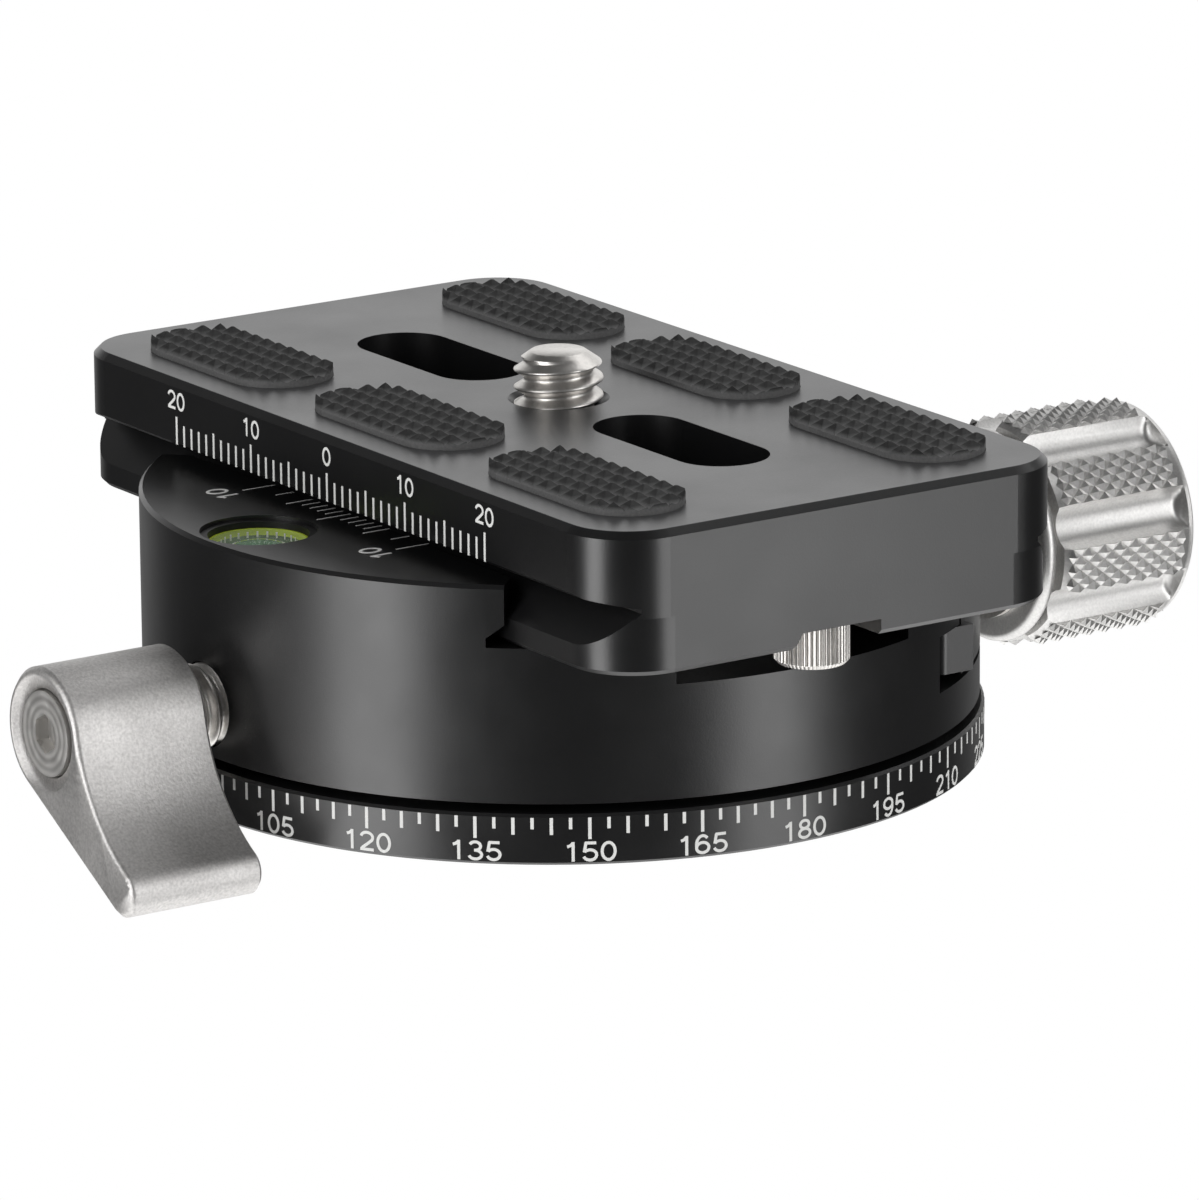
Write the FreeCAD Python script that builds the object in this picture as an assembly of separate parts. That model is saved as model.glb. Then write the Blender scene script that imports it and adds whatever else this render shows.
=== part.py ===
import FreeCAD, Part
import math
import os

os.makedirs("parts", exist_ok=True)
Vec = FreeCAD.Vector

# Panoramic tripod head: a turning clamp on a fixed base, with its quick-release plate.
# Millimetres. The origin is the centre of the base's underside, +Z is the pan axis,
# the plate lies along Y, the clamp knob points to +X and the lock lever to -X.

# Fits
slip = 0.05               # radial clearance of a part that turns or slides in a bore
play = 0.05               # axial clearance between flat faces that turn on each other
nest = 0.03               # radial clearance of a part that is pressed or glued in

# Base, spindle and bearing
base_r = 30.0
base_h = 3.6
base_edge = 0.2
foot_r = 13.0
foot_h = 1.8
spigot_r = 7.9
post_r = 8.5
tripod_hole_r = 3.97
tripod_hole_depth = 9.5
shadow_gap = 0.65
thrust_inset = 3.68
thrust_gap = 1.0
glide_h = 0.35
disc_r = 11.3
disc_h = 1.2
cap_r = 12.0
cap_h = 0.8

# Small countersunk screws of the base and the bearing
csk_r = 1.25
csk_head_r = 2.3
csk_socket_r = 0.8
csk_socket_depth = 0.9
csk_count = 3
base_screw_pitch_r = 10.5
base_screw_len = 3.3
disc_screw_pitch_r = 5.6
disc_screw_len = 4.4
disc_screw_turn = 60.0    # sets the bearing's screws between the base's, in plan

# Turning body
rim_step = 0.32           # how far the body stands in from the base's edge
body_h = 15.32
rim_edge = 0.27
channel_depth = 4.37
ledge_depth = 2.7

# Dovetail, shared by the body, the jaw and the plate
root_x = 20.4
root_h = 0.65
lip_x = 17.8
lip_gap = 0.05
lip_flare = 1.65
lip_flare_y = 22.4

# Jaw space on the +X side of the body
jaw_x = 17.7
jaw_gap = 0.3
jaw_drop = 1.98           # the jaw's underside, the tongues' underside and top, from the screw's axis
jaw_lift = 0.38
tongue_x = 15.4
tongue_gap = 1.1
tongue_drop = 1.7
tongue_rise = 1.6
tongue_roof_gap = 0.1
tongue_inner_y = 9.5
tongue_inset_y = 5.48
tongue_round = 0.8

# Clamp screw and its knob
screw_drop = 2.8          # from the bearing's ledge down to the screw's axis
screw_r = 2.5
screw_bore_wall = 0.75
screw_tip_gap = 0.4
boss_r = 4.2
trough_gap = 0.25
boss_len = 6.72
washer_r = 6.0
washer_h = 0.45
flange_r = 7.9
flange_h = 1.2
flange_edge = 0.3
undercut_r = 6.4
undercut_h = 0.5
knob_r = 8.69
knob_h = 11.17
knob_edge = 0.45
knob_slope = 0.75
cap_disc_r = 8.1
cap_disc_h = 0.53
dish_r = 6.0
dish_depth = 0.5
flute_r = 1.7
flute_count = 8
flute_start = 13.7
screw_in_knob = 8.5

# Guide pins and springs of the jaw
pin_r = 1.25
pin_y = 15.0
pin_bury = 7.3
pin_stand = 4.3
pin_hole_spare = 2.0
spring_y = 6.8
spring_hole_r = 1.65
spring_hole_depth = 5.3
spring_wire = 0.22

# Pan lock: brake shoe, stud and indexing lever
lock_rise = 3.55
stud_r = 3.0
shoe_r = 2.45
shoe_len = 4.4
thread_overrun = 0.6
lever_gap = 2.5
lever_len = 10.5
lever_hub_r = 4.7
lever_tip_r = 1.7
lever_reach = 13.35
lever_hollow_r = 12.0
lever_angle = 42.1
lever_edge = 0.35
socket_depth = 3.0
hub_tooth_r = 3.4
hub_valley_r = 3.0
hub_teeth = 16
web_h = 1.0
chamber_r = 3.15
face_recess_r = 4.05
face_recess_depth = 0.5
lever_screw_r = 1.5
lever_head_r = 3.0
lever_head_h = 1.4
lever_head_sink = 0.25
lever_hex = 2.5
lever_hex_depth = 1.0
lever_screw_bite = 2.6
lever_spring_wire = 0.3

# Quick-release plate
plate_lift = 0.2
plate_x = 38.7
plate_y = 70.0
plate_h = 10.0
plate_corner_r = 5.0
plate_top_edge = 0.5
plate_low_edge = 0.35
flange_x = 19.0
groove_x = 16.4
groove_flat = 0.3
slab_rise = 0.5
slab_edge = 0.25
under_x = 15.0
under_y = 52.0
under_corner_r = 3.75
under_depth = 4.0
slot_w = 6.8
slot_near_y = 7.0
slot_far_y = 23.5
pad_w = 7.8
pad_len = 17.8
pad_x = 12.5
pad_step = 22.2
pad_above = 0.95
pad_sink = 0.55
pad_points_across = 5
pad_point_h = 0.6
pad_point_flat = 0.5
stop_y = 30.9
stop_head_r = 2.65
stop_head_h = 3.4
stop_head_edge = 0.3
stop_r = 1.5
stop_len = 6.0
stop_notch_x0 = -3.6
stop_notch_x1 = 2.9
stop_notch_depth = 1.12
stop_notch_gap = 0.3
stop_slant = 0.7
stop_hex = 2.5
stop_hex_depth = 1.6

# Recesses in the channel's ends that the stop screws travel in
stop_recess_x0 = -9.3
stop_recess_x1 = 10.3
stop_recess_depth = 2.85
plate_travel = 8.0
stop_spare = 0.25

# Camera screw
camera_r = 3.175
camera_tip_r = 1.95
camera_tip_h = 0.86
camera_above = 3.45
camera_shank_r = 2.5
camera_head_r = 6.6
camera_head_h = 2.9
camera_slot_w = 1.3
camera_slot_depth = 1.1
camera_hex = 4.0
camera_hex_depth = 2.2
camera_mouth_r = 3.6

# Bubble level
level_inset = 4.68
level_r = 4.1
level_depth = 4.3
level_wall = 0.55
level_floor = 0.6
level_sink = 0.3
vial_sink = 0.35

# Places worked out from the sizes above
reach = base_r * 2        # longer than anything here, for cuts that run right through
body_r = base_r - rim_step
body_z0 = base_h + shadow_gap
body_z1 = body_z0 + body_h
floor_z = body_z1 - channel_depth
ledge_z = floor_z - ledge_depth
screw_z = ledge_z - screw_drop
lock_z = body_z0 + lock_rise
post_top = ledge_z + glide_h + play
disc_top = post_top + disc_h
cap_z = floor_z - play - cap_h
bore_r = post_r + slip
well_r = disc_r + slip * 2
root_z = floor_z + root_h
lip_z = root_z + root_x - lip_x
jaw_bottom = screw_z - jaw_drop
jaw_ledge = jaw_bottom - jaw_lift
jaw_wall = jaw_x - jaw_gap
tongue_bottom = screw_z - tongue_drop
tongue_top = screw_z + tongue_rise
tongue_outer_y = body_r - tongue_inset_y
pocket_x = tongue_x - tongue_gap
pocket_roof = tongue_top + tongue_roof_gap
pin_inner_x = pocket_x - pin_bury
pin_outer_x = jaw_x + pin_stand
spring_end = jaw_x + spring_hole_depth
screw_bore_end = bore_r + screw_bore_wall
screw_tip_x = screw_bore_end + screw_tip_gap
boss_end = body_r + boss_len
knob_x = boss_end + washer_h + play
plate_z0 = floor_z + plate_lift
plate_z1 = plate_z0 + plate_h
under_z = plate_z0 + under_depth
lever_x = body_r + lever_gap
lever_end = lever_x + lever_len
web_x = lever_x + socket_depth
chamber_x = web_x + web_h
lever_head_out = lever_end - lever_head_sink
lever_head_in = lever_head_out - lever_head_h
shoe_x = bore_r + shoe_len
recess_y = stop_y - stop_head_r - plate_travel - stop_spare
level_x = level_inset - body_r


def tube(outer, inner, z0, z1):
    shape = Part.makeCylinder(outer, z1 - z0, Vec(0, 0, z0))
    return shape.cut(Part.makeCylinder(inner, z1 - z0, Vec(0, 0, z0)))


def box(x0, x1, y0, y1, z0, z1):
    return Part.makeBox(x1 - x0, y1 - y0, z1 - z0, Vec(x0, y0, z0))


def bar(side, height, radius, near, far, y=0.0):
    # A round bar along X, from near to far outwards on one side of the pan axis.
    start = Vec(side * near, y, height)
    return Part.makeCylinder(radius, far - near, start, Vec(side, 0, 0))


def prism_y(points, half):
    # A closed XZ outline, drawn out along Y to both sides.
    wire = Part.makePolygon([Vec(x, -half, z) for x, z in points + points[:1]])
    return Part.Face(wire).extrude(Vec(0, 2 * half, 0))


def prism_z(points, z0, z1):
    wire = Part.makePolygon([Vec(x, y, z0) for x, y in points + points[:1]])
    return Part.Face(wire).extrude(Vec(0, 0, z1 - z0))


def turned_x(points, height):
    # A closed (x, radius) outline, turned about the X axis at the given height.
    wire = Part.makePolygon([Vec(x, 0, height + r) for x, r in points + points[:1]])
    return Part.Face(wire).revolve(Vec(0, 0, height), Vec(1, 0, 0), 360)


def turned_z(points):
    wire = Part.makePolygon([Vec(r, 0, z) for r, z in points + points[:1]])
    return Part.Face(wire).revolve(Vec(0, 0, 0), Vec(0, 0, 1), 360)


def hexagon(across, z0, z1):
    corner = across / 2 / math.cos(math.pi / 6)
    turns = [math.pi / 3 * i for i in range(6)]
    return prism_z([(corner * math.cos(a), corner * math.sin(a)) for a in turns], z0, z1)


def stadium(cx, cy, width, length, z0, z1):
    # A slot shape with round ends, lying along Y.
    r = width / 2
    straight = length / 2 - r
    shape = box(cx - r, cx + r, cy - straight, cy + straight, z0, z1)
    for end in (-1, 1):
        shape = shape.fuse(Part.makeCylinder(r, z1 - z0, Vec(cx, cy + end * straight, z0)))
    return shape.removeSplitter()


def edges_at(shape, level):
    # The edges that lie in one level plane.
    found = []
    for edge in shape.Edges:
        box_z = edge.BoundBox
        if abs(box_z.ZMin - level) < 1e-6 and abs(box_z.ZMax - level) < 1e-6:
            found.append(edge)
    return found


def round_table(width, length, corner, z0, z1):
    # An upright block with round corners.
    x = width / 2
    y = length / 2
    shape = box(-x, x, -y, y, z0, z1)
    upright = [e for e in shape.Edges if e.BoundBox.ZLength > (z1 - z0) / 2]
    return shape.makeFillet(corner, upright)


def sleeve(side, height, outer, wire, near, far, y=0.0):
    # A spring at its size over all, as a plain sleeve twice as thick as its wire.
    inner = outer - wire * 2
    return bar(side, height, outer, near, far, y).cut(bar(side, height, inner, near, far, y))


def countersunk_screw(length):
    # Head face at z = 0, shank downwards.
    head_h = csk_head_r - csk_r
    outline = [(0, 0), (csk_head_r, 0), (csk_r, -head_h), (csk_r, -length), (0, -length)]
    return turned_z(outline).cut(hexagon(csk_socket_r * 2, -csk_socket_depth, 0))


def around(shape, count, radius, start=0.0):
    # Copies of a shape set around the pan axis.
    copies = []
    for i in range(count):
        copy = shape.copy()
        copy.translate(Vec(radius, 0, 0))
        copy.rotate(Vec(0, 0, 0), Vec(0, 0, 1), start + 360.0 / count * i)
        copies.append(copy)
    return copies


def base_screw_set():
    screw = countersunk_screw(base_screw_len)
    screw.rotate(Vec(0, 0, 0), Vec(1, 0, 0), 180)
    return around(screw, csk_count, base_screw_pitch_r)


def disc_screw_set():
    screw = countersunk_screw(disc_screw_len)
    screw.translate(Vec(0, 0, disc_top))
    return around(screw, csk_count, disc_screw_pitch_r, disc_screw_turn)


def filled(screws, face_z, direction):
    # The screws with their sockets filled, as the shape of their holes.
    plugs = []
    for screw in screws:
        centre = Vec((screw.BoundBox.XMin + screw.BoundBox.XMax) / 2,
                     (screw.BoundBox.YMin + screw.BoundBox.YMax) / 2, face_z)
        plug = Part.makeCylinder(csk_r, csk_socket_depth + nest, centre, Vec(0, 0, direction))
        plugs.append(screw.fuse(plug))
    return plugs


def make_base_disc():
    top_edge = base_r - base_edge
    disc = turned_z([(0, 0), (top_edge, 0), (base_r, base_edge), (base_r, base_h - base_edge),
                     (top_edge, base_h), (0, base_h)])
    disc = disc.cut(Part.makeCylinder(spigot_r + nest, base_h))
    disc = disc.cut(Part.makeCylinder(foot_r + nest, foot_h, Vec(0, 0, base_h - foot_h)))
    return disc.cut(filled(base_screw_set(), 0, 1))


def make_spindle():
    spindle = turned_z([(0, 0), (spigot_r, 0), (spigot_r, base_h - foot_h), (foot_r, base_h - foot_h),
                        (foot_r, base_h), (post_r, base_h), (post_r, post_top), (0, post_top)])
    spindle = spindle.cut(Part.makeCylinder(tripod_hole_r, tripod_hole_depth))
    return spindle.cut(base_screw_set() + disc_screw_set())


def make_retaining_disc():
    disc = Part.makeCylinder(disc_r, disc_h, Vec(0, 0, post_top))
    return disc.cut(filled(disc_screw_set(), disc_top, -1))


def make_thrust_ring():
    return tube(body_r - thrust_inset, foot_r + thrust_gap, base_h, body_z0 - play)


def make_glide_ring():
    return tube(disc_r, bore_r + slip, ledge_z, ledge_z + glide_h)


def make_channel_cap():
    return Part.makeCylinder(cap_r - nest, cap_h, Vec(0, 0, cap_z))


def lip_flares(side):
    # The lead-in at both ends of a dovetail lip, cut at 45 degrees in plan.
    y = lip_flare_y - lip_flare
    x = lip_x - nest
    far = body_r
    cuts = []
    for end in (-1, 1):
        outline = [(side * x, end * y), (side * (x + far), end * (y + far)), (side * x, end * (y + far))]
        cuts.append(prism_z(outline, floor_z, body_z1 + reach))
    return cuts


def round_body():
    # The body's round outside with its top edge broken.
    return turned_z([(0, body_z0), (body_r, body_z0), (body_r, body_z1 - rim_edge),
                     (body_r - rim_edge, body_z1), (0, body_z1)])


def channel_cut():
    outline = [(-root_x, floor_z), (-root_x, root_z), (-lip_x, lip_z), (-lip_x, body_z1 + reach),
               (reach, body_z1 + reach), (reach, floor_z)]
    return prism_y(outline, reach)


def jaw_space():
    outline = [(pocket_x, jaw_ledge), (pocket_x, pocket_roof), (jaw_wall, pocket_roof),
               (jaw_wall, floor_z), (reach, floor_z), (reach, jaw_ledge)]
    trough = bar(1, screw_z, boss_r + trough_gap, jaw_wall, reach)
    return [prism_y(outline, reach), trough]


def stop_recesses():
    cuts = []
    for y0, y1 in ((-reach, -recess_y), (recess_y, reach)):
        cuts.append(box(stop_recess_x0, stop_recess_x1, y0, y1, floor_z - stop_recess_depth, floor_z))
    return cuts


def bearing_bores():
    return [Part.makeCylinder(bore_r, body_h, Vec(0, 0, body_z0)),
            Part.makeCylinder(well_r, body_h, Vec(0, 0, ledge_z)),
            Part.makeCylinder(cap_r, body_h, Vec(0, 0, cap_z))]


def lock_bores():
    thread_end = shoe_x - thread_overrun
    return [bar(-1, lock_z, stud_r + slip, thread_end, reach),
            bar(-1, lock_z, shoe_r + slip, 0, thread_end)]


def clamp_bores():
    cuts = [bar(1, screw_z, screw_r + slip, screw_bore_end, reach)]
    for y in (-pin_y, pin_y):
        cuts.append(bar(1, screw_z, pin_r + nest, pin_inner_x, pocket_x, y))
    return cuts


def make_head_body():
    body = round_body()
    body = body.cut([channel_cut()] + jaw_space() + stop_recesses())
    body = body.cut(lip_flares(-1))
    body = body.cut(bearing_bores())
    body = body.cut(lock_bores() + clamp_bores())
    level = Part.makeCylinder(level_r, level_depth, Vec(level_x, 0, body_z1 - level_depth))
    return body.cut(level)


def make_level_housing():
    z0 = body_z1 - level_depth
    cup = Part.makeCylinder(level_r - nest, level_depth - level_sink, Vec(level_x, 0, z0))
    well = Part.makeCylinder(level_r - level_wall, level_depth, Vec(level_x, 0, z0 + level_floor))
    return cup.cut(well)


def make_level_vial():
    height = level_depth - level_floor - level_sink - vial_sink
    foot = Vec(level_x, 0, body_z1 - level_depth + level_floor)
    return Part.makeCylinder(level_r - level_wall - nest, height, foot)


def tongue(end):
    # One of the jaw's two guide tongues, with its inner corners rounded.
    block = box(tongue_x, jaw_x + tongue_round, tongue_inner_y, tongue_outer_y, tongue_bottom, tongue_top)
    inner = [e for e in block.Edges if e.BoundBox.ZLength > 1 and e.BoundBox.XMax < jaw_x]
    block = block.makeFillet(tongue_round, inner)
    if end < 0:
        block = block.mirror(Vec(0, 0, 0), Vec(0, 1, 0))
    return block


def jaw_bores():
    cuts = [bar(1, screw_z, screw_r + slip, 0, reach)]
    for side in (-1, 1):
        cuts.append(bar(1, screw_z, pin_r + slip, 0, pin_outer_x + pin_hole_spare, side * pin_y))
        cuts.append(bar(1, screw_z, spring_hole_r, 0, spring_end, side * spring_y))
    return cuts


def make_movable_jaw():
    outline = [(jaw_x, jaw_bottom), (jaw_x, floor_z), (root_x, floor_z), (root_x, root_z), (lip_x, lip_z),
               (lip_x, body_z1), (reach, body_z1), (reach, jaw_bottom)]
    jaw = round_body().common(prism_y(outline, reach))
    jaw = jaw.cut(lip_flares(1))
    jaw = jaw.fuse([tongue(-1), tongue(1), bar(1, screw_z, boss_r, jaw_x, boss_end)])
    return jaw.cut(jaw_bores()).removeSplitter()


def make_guide_pins():
    return [bar(1, screw_z, pin_r, pin_inner_x, pin_outer_x, y) for y in (-pin_y, pin_y)]


def make_jaw_springs():
    outer = spring_hole_r - slip * 2
    return [sleeve(1, screw_z, outer, spring_wire, pocket_x, spring_end, y) for y in (-spring_y, spring_y)]


def make_knob_washer():
    washer = bar(1, screw_z, washer_r, boss_end, boss_end + washer_h)
    return washer.cut(bar(1, screw_z, screw_r + slip, 0, reach))


def knob_outline():
    a = knob_x
    b = a + flange_h
    c = b + undercut_h
    d = c + knob_h
    e = d + cap_disc_h
    edge = flange_edge
    return [(a, 0), (a, flange_r - edge), (a + edge, flange_r), (b - edge, flange_r), (b, flange_r - edge),
            (b, undercut_r), (c, undercut_r), (c, knob_r - knob_edge), (c + knob_edge, knob_r),
            (d - knob_slope, knob_r), (d, cap_disc_r), (e - edge, cap_disc_r), (e, cap_disc_r - edge),
            (e, dish_r), (e - dish_depth, dish_r - dish_depth), (e - dish_depth, 0)]


def make_clamp_knob():
    knob = turned_x(knob_outline(), screw_z)
    start = knob_x + flange_h + undercut_h / 2
    end = knob_x + flange_h + undercut_h + knob_h
    flutes = []
    for i in range(flute_count):
        turn = math.radians(flute_start + 360.0 / flute_count * i)
        y = -knob_r * math.cos(turn)
        z = screw_z + knob_r * math.sin(turn)
        flutes.append(Part.makeCylinder(flute_r, end - start, Vec(start, y, z), Vec(1, 0, 0)))
    knob = knob.cut(flutes)
    return knob.cut(bar(1, screw_z, screw_r, 0, knob_x + screw_in_knob))


def make_clamp_screw():
    return bar(1, screw_z, screw_r, screw_tip_x, knob_x + screw_in_knob)


def make_brake_shoe():
    shoe = bar(-1, lock_z, shoe_r, 0, shoe_x)
    return shoe.cut(Part.makeCylinder(bore_r, reach))


def toothed(tooth, valley, near, far):
    # The fine-toothed hub that the lever sits on.
    points = []
    for i in range(hub_teeth * 2):
        r = tooth if i % 2 == 0 else valley
        turn = math.pi / hub_teeth * i
        points.append((r * math.cos(turn), lock_z + r * math.sin(turn)))
    wire = Part.makePolygon([Vec(-near, y, z) for y, z in points + points[:1]])
    return Part.Face(wire).extrude(Vec(near - far, 0, 0))


def make_lock_stud():
    stud = bar(-1, lock_z, stud_r, shoe_x, lever_x)
    stud = stud.fuse(toothed(hub_tooth_r, hub_valley_r, lever_x, web_x - play))
    return stud.cut(bar(-1, lock_z, lever_screw_r, web_x - lever_screw_bite, reach))


def on_lock_axis(shape):
    # From a shape that stands on z = 0 to one that lies along -X on the lock axis.
    shape.rotate(Vec(0, 0, 0), Vec(0, 1, 0), -90)
    shape.translate(Vec(0, 0, lock_z))
    return shape


def make_lever_screw():
    screw = bar(-1, lock_z, lever_screw_r, web_x - lever_screw_bite, lever_head_in)
    screw = screw.fuse(bar(-1, lock_z, lever_head_r, lever_head_in, lever_head_out))
    recess = hexagon(lever_hex, lever_head_out - lever_hex_depth, lever_head_out)
    return screw.cut(on_lock_axis(recess)).removeSplitter()


def lever_point(along, across):
    # A point of the lever's outline: along the lever, and across it towards its hollow flank.
    turn = math.radians(lever_angle)
    y = -along * math.cos(turn) - across * math.sin(turn)
    z = -along * math.sin(turn) + across * math.cos(turn)
    return Vec(-lever_x, y, lock_z + z)


def lever_outline():
    # Hub arc, straight flank, tip arc and hollow flank, each tangent to the next.
    lean = math.asin((lever_hub_r - lever_tip_r) / lever_reach)
    hub_low = lever_point(lever_hub_r * math.sin(lean), -lever_hub_r * math.cos(lean))
    tip_low = lever_point(lever_reach + lever_tip_r * math.sin(lean), -lever_tip_r * math.cos(lean))
    to_hub = lever_hub_r + lever_hollow_r
    to_tip = lever_tip_r + lever_hollow_r
    along = (to_hub ** 2 - to_tip ** 2 + lever_reach ** 2) / (2 * lever_reach)
    across = math.sqrt(to_hub ** 2 - along ** 2)
    hub_share = lever_hub_r / to_hub
    tip_share = lever_tip_r / to_tip
    hub_high = lever_point(along * hub_share, across * hub_share)
    tip_high = lever_point(lever_reach + (along - lever_reach) * tip_share, across * tip_share)
    centre = lever_point(along, across)
    inward = hub_high.add(tip_high).multiply(0.5).sub(centre).normalize()
    hollow = centre.add(inward.multiply(lever_hollow_r))
    return Part.Wire([
        Part.Arc(hub_low, lever_point(-lever_hub_r, 0), hub_high).toShape(),
        Part.Arc(hub_high, hollow, tip_high).toShape(),
        Part.Arc(tip_high, lever_point(lever_reach + lever_tip_r, 0), tip_low).toShape(),
        Part.LineSegment(tip_low, hub_low).toShape()])


def make_lever_handle():
    handle = Part.Face(lever_outline()).extrude(Vec(-lever_len, 0, 0))
    ends = [e for e in handle.Edges if e.BoundBox.XLength < lever_len / 2]
    handle = handle.makeChamfer(lever_edge, ends)
    handle = handle.cut(toothed(hub_tooth_r + slip * 2, hub_valley_r + slip * 2, lever_x - 1, web_x))
    handle = handle.cut(bar(-1, lock_z, lever_screw_r + slip, web_x, chamber_x))
    handle = handle.cut(bar(-1, lock_z, chamber_r, chamber_x, reach))
    return handle.cut(bar(-1, lock_z, face_recess_r, lever_end - face_recess_depth, reach))


def make_lever_spring():
    return sleeve(-1, lock_z, chamber_r - slip * 2, lever_spring_wire, chamber_x, lever_head_in)


def plate_section():
    # Half the plate's cross-section; the flange's slope stays lip_gap under the lips.
    slope_z = root_z + root_x - lip_gap - flange_x
    groove_z = slope_z + flange_x - groove_x
    slab_z = groove_z + groove_flat
    edge_x = plate_x / 2
    return [(0, plate_z0), (flange_x, plate_z0), (flange_x, slope_z), (groove_x, groove_z),
            (groove_x, slab_z), (edge_x - slab_edge, slab_z + slab_rise),
            (edge_x, slab_z + slab_rise + slab_edge), (edge_x, plate_z1), (0, plate_z1)]


def plate_blank():
    half = plate_section()
    mirrored = [(-x, z) for x, z in reversed(half[1:-1])]
    profile = prism_y(half + mirrored, plate_y)
    block = round_table(plate_x, plate_y, plate_corner_r, plate_z0, plate_z1)
    block = block.makeChamfer(plate_top_edge, edges_at(block, plate_z1))
    low = round_table(flange_x * 2, plate_y, plate_corner_r, plate_z0, plate_z1)
    low = low.makeChamfer(plate_low_edge, edges_at(low, plate_z0))
    split = plate_z0 + under_depth
    low = low.common(box(-reach, reach, -reach, reach, plate_z0, split))
    block = block.common(box(-reach, reach, -reach, reach, split, plate_z1))
    return block.fuse(low).common(profile).removeSplitter()


def slots():
    length = slot_far_y - slot_near_y
    middle = (slot_far_y + slot_near_y) / 2
    return [stadium(0, end * middle, slot_w, length, plate_z0, plate_z1) for end in (-1, 1)]


def pad_centres():
    return [(side * pad_x, row * pad_step) for side in (-1, 1) for row in (-1, 0, 1)]


def pad_pockets():
    width = pad_w + nest * 2
    length = pad_len + nest * 2
    return [stadium(x, y, width, length, plate_z1 - pad_sink, plate_z1) for x, y in pad_centres()]


def stop_notches():
    # Shallow notches for the stop screws' heads, open at the plate's ends, one flank slanted.
    inner = stop_y - stop_head_r - stop_notch_gap
    top = plate_z0 + stop_notch_depth
    outline = [(stop_notch_x0 - stop_slant, plate_z0), (stop_notch_x0, top), (stop_notch_x1, top),
               (stop_notch_x1, plate_z0)]
    wedge = prism_y(outline, plate_y)
    return [wedge.common(box(-reach, reach, inner, reach, 0, plate_z1)),
            wedge.common(box(-reach, reach, -reach, -inner, 0, plate_z1))]


def stop_holes():
    top = plate_z0 + stop_notch_depth
    return [Part.makeCylinder(stop_r, stop_len, Vec(0, y, top)) for y in (-stop_y, stop_y)]


def make_plate():
    plate = plate_blank()
    well = round_table(under_x, under_y, under_corner_r, plate_z0, under_z)
    plate = plate.cut([well] + slots())
    plate = plate.cut(pad_pockets())
    plate = plate.cut(stop_notches())
    plate = plate.cut(stop_holes())
    hole = camera_shank_r + slip
    mouth = camera_mouth_r - hole
    plate = plate.cut(Part.makeCylinder(hole, plate_h, Vec(0, 0, plate_z0)))
    return plate.cut(Part.makeCone(hole, camera_mouth_r, mouth, Vec(0, 0, plate_z1 - mouth)))


def pad_grooves(pitch, top):
    # V-grooves both ways over a pad that is centred in plan; blunt points stand between them.
    half = (pitch - pad_point_flat) / 2
    outline = [(-half, top), (0, top - pad_point_h), (half, top)]
    grooves = []
    for width, length, turn in ((pad_w, pad_len, 0), (pad_len, pad_w, 90)):
        count = round(width / pitch)
        for i in range(-count // 2, count // 2 + 1):
            groove = prism_y(outline, length)
            groove.translate(Vec((i + 0.5) * pitch, 0, 0))
            groove.rotate(Vec(0, 0, 0), Vec(0, 0, 1), turn)
            grooves.append(groove)
    return grooves


def make_rubber_pads():
    top = plate_z1 + pad_above
    pad = stadium(0, 0, pad_w, pad_len, plate_z1 - pad_sink, top)
    pad = pad.cut(pad_grooves(pad_w / pad_points_across, top))
    return [pad.translated(Vec(x, y, 0)) for x, y in pad_centres()]


def make_stop_screws():
    top = plate_z0 + stop_notch_depth
    low = top - stop_head_h
    screw = turned_z([(0, low), (stop_head_r - stop_head_edge, low), (stop_head_r, low + stop_head_edge),
                      (stop_head_r, top), (stop_r, top), (stop_r, top + stop_len), (0, top + stop_len)])
    screw = screw.cut(hexagon(stop_hex, low, low + stop_hex_depth))
    return [screw.translated(Vec(0, y, 0)) for y in (-stop_y, stop_y)]


def make_camera_screw():
    top = plate_z1 + camera_above
    head_top = under_z - play
    z0 = head_top - camera_head_h
    screw = turned_z([(0, z0), (camera_head_r, z0), (camera_head_r, head_top), (camera_shank_r, head_top),
                      (camera_shank_r, plate_z1), (camera_r, plate_z1), (camera_r, top - camera_tip_h),
                      (camera_tip_r, top), (0, top)])
    screw = screw.cut(hexagon(camera_hex, z0, z0 + camera_hex_depth))
    half = camera_slot_w / 2
    return screw.cut(box(-reach, reach, -half, half, z0, z0 + camera_slot_depth))


def save(name, solids):
    shape = Part.makeCompound(solids) if isinstance(solids, list) else solids
    count = len(shape.Solids)
    if not shape.isValid():
        raise ValueError(name + " is not a valid shape")
    shape.exportStep("parts/" + name + ".step")
    print(name, count, "solids, volume", round(shape.Volume, 2))


save("base_disc", make_base_disc())
save("spindle", make_spindle())
save("base_screws", base_screw_set())
save("thrust_ring", make_thrust_ring())
save("glide_ring", make_glide_ring())
save("retaining_disc", make_retaining_disc())
save("retaining_screws", disc_screw_set())
save("head_body", make_head_body())
save("channel_cap", make_channel_cap())
save("level_housing", make_level_housing())
save("level_vial", make_level_vial())
save("guide_pins", make_guide_pins())
save("movable_jaw", make_movable_jaw())
save("jaw_springs", make_jaw_springs())
save("knob_washer", make_knob_washer())
save("clamp_knob", make_clamp_knob())
save("clamp_screw", make_clamp_screw())
save("brake_shoe", make_brake_shoe())
save("lock_stud", make_lock_stud())
save("lever_screw", make_lever_screw())
save("lever_spring", make_lever_spring())
save("lever_handle", make_lever_handle())
save("quick_release_plate", make_plate())
save("rubber_pads", make_rubber_pads())
save("stop_screws", make_stop_screws())
save("camera_screw", make_camera_screw())
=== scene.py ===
import bmesh
import bpy
import math
from mathutils import Matrix, Vector


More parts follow.
